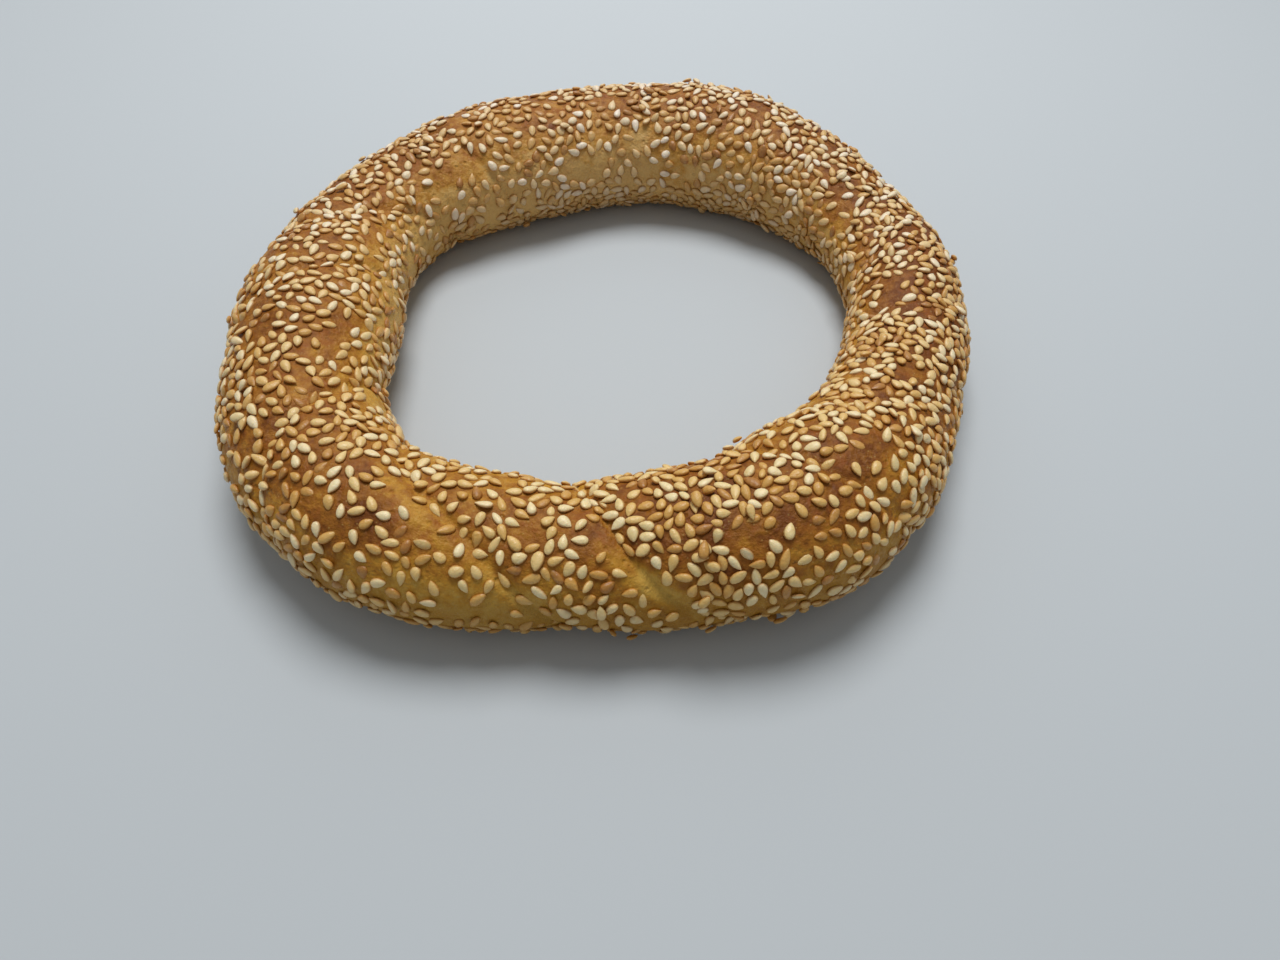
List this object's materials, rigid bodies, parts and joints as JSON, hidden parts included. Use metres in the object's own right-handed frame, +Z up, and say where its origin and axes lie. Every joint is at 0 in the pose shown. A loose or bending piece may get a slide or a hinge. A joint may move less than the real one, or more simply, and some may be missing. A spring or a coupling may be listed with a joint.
{
  "type": "simit",
  "caption": "Round open bread ring rolled from two lightly twisted ropes of dough, baked brown, crusted all round with sesame seeds, flat underneath where it lay on the tray.",
  "frame": {"origin": "on the tray, under the middle of the ring's box", "axes": "+Z up through the hole; the ring lies level in X and Y, the side nearest the viewer at -Y"},
  "size_m": [0.153, 0.1522, 0.0276],
  "materials": {
    "crust": "baked bread crust, red-brown on top, golden on the inner flank and pale cream low on the outer side, satin",
    "sesame_pale": "raw-looking cream sesame seeds, smooth, faint gloss",
    "sesame_golden": "golden toasted sesame seeds, smooth, faint gloss",
    "sesame_toasted": "dark toasted sesame seeds, smooth, faint gloss"
  },
  "bodies": {
    "root": {"simit": "crust"}
  },
  "joints": []
}
